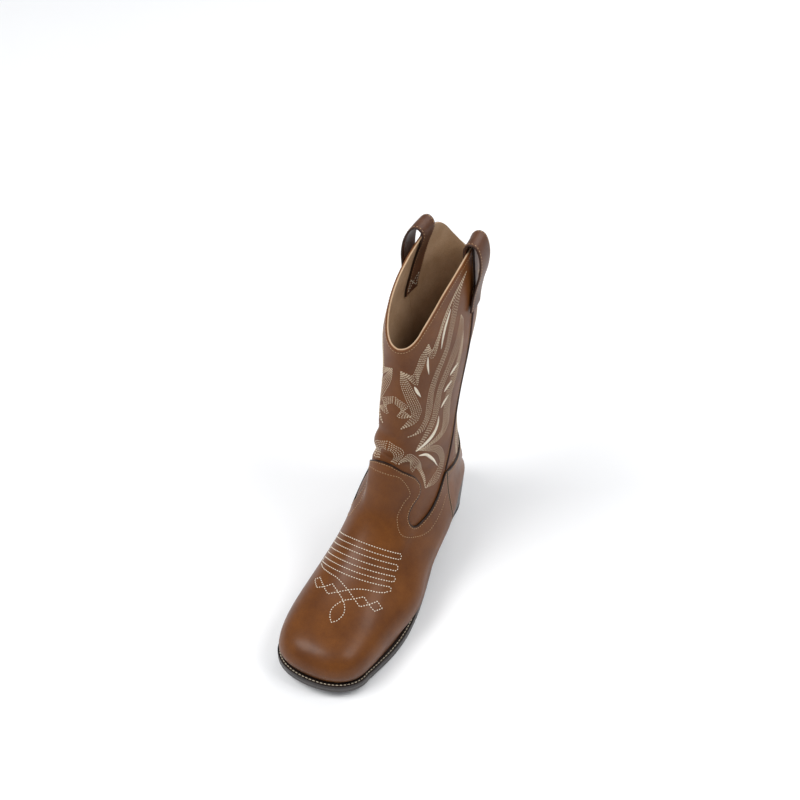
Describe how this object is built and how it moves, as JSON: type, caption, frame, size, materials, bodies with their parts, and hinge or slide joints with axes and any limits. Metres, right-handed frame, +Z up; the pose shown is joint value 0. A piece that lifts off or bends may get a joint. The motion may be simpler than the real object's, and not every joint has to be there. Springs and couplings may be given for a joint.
{
  "type": "cowboy boot",
  "caption": "Western pull-on boot for a left foot: stitched tan leather shaft with scalloped top line and pull straps, rounded square toe, welted sole, stacked block heel.",
  "frame": {"origin": "on the floor, under the middle of the boot's bounding box", "axes": "+Z up; toe towards -Y and heel towards +Y; +X towards the outer (lateral) side of a left foot"},
  "size_m": [0.106, 0.3029, 0.3502],
  "materials": {
    "tan_leather": "glossy smooth tan leather, burnished darker at the edges",
    "shaft_leather": "smooth tan leather with rows of stitching",
    "lining_leather": "matt natural lining leather",
    "piping_leather": "dark red-brown satin leather",
    "strap_leather": "satin tan leather with dark edges",
    "stiffener_board": "matt resin-stiffened board",
    "insole_board": "matt pressed leather board",
    "sock_leather": "matt natural leather",
    "heel_foam": "matt foam",
    "spring_steel": "satin rolled steel",
    "cork": "matt granular cork",
    "welt_leather": "dark stained satin leather",
    "welt_thread": "waxed cream thread",
    "sole_leather": "dark stained polished leather",
    "heel_leather": "dark stained polished stacked leather",
    "cap_rubber": "matt black rubber",
    "nail_brass": "satin brass",
    "screw_steel": "zinc-plated steel"
  },
  "bodies": {
    "root": {"vamp": "tan_leather", "counter": "tan_leather", "shaft_front": "shaft_leather", "shaft_back": "shaft_leather", "side_piping_lateral": "piping_leather", "side_piping_medial": "piping_leather", "toe_puff": "stiffener_board", "heel_counter_stiffener": "stiffener_board", "vamp_lining": "lining_leather", "shaft_lining_front": "lining_leather", "shaft_lining_back": "lining_leather", "pull_strap_lateral": "strap_leather", "pull_strap_medial": "strap_leather", "welt": "welt_leather", "welt_thread": "welt_thread", "heel_rand": "welt_leather", "outsole": "sole_leather", "cork_filler": "cork", "steel_shank": "spring_steel", "shank_cover": "insole_board", "insole_board": "insole_board", "heel_pad": "heel_foam", "sock_liner": "sock_leather", "heel_lift_1": "heel_leather", "heel_lift_2": "heel_leather", "heel_lift_3": "heel_leather", "heel_lift_4": "heel_leather", "heel_lift_5": "heel_leather", "heel_cap": "cap_rubber", "heel_nail_1": "nail_brass", "heel_nail_2": "nail_brass", "heel_nail_3": "nail_brass", "heel_nail_4": "nail_brass", "heel_nail_5": "nail_brass", "heel_screw": "screw_steel"}
  },
  "joints": []
}
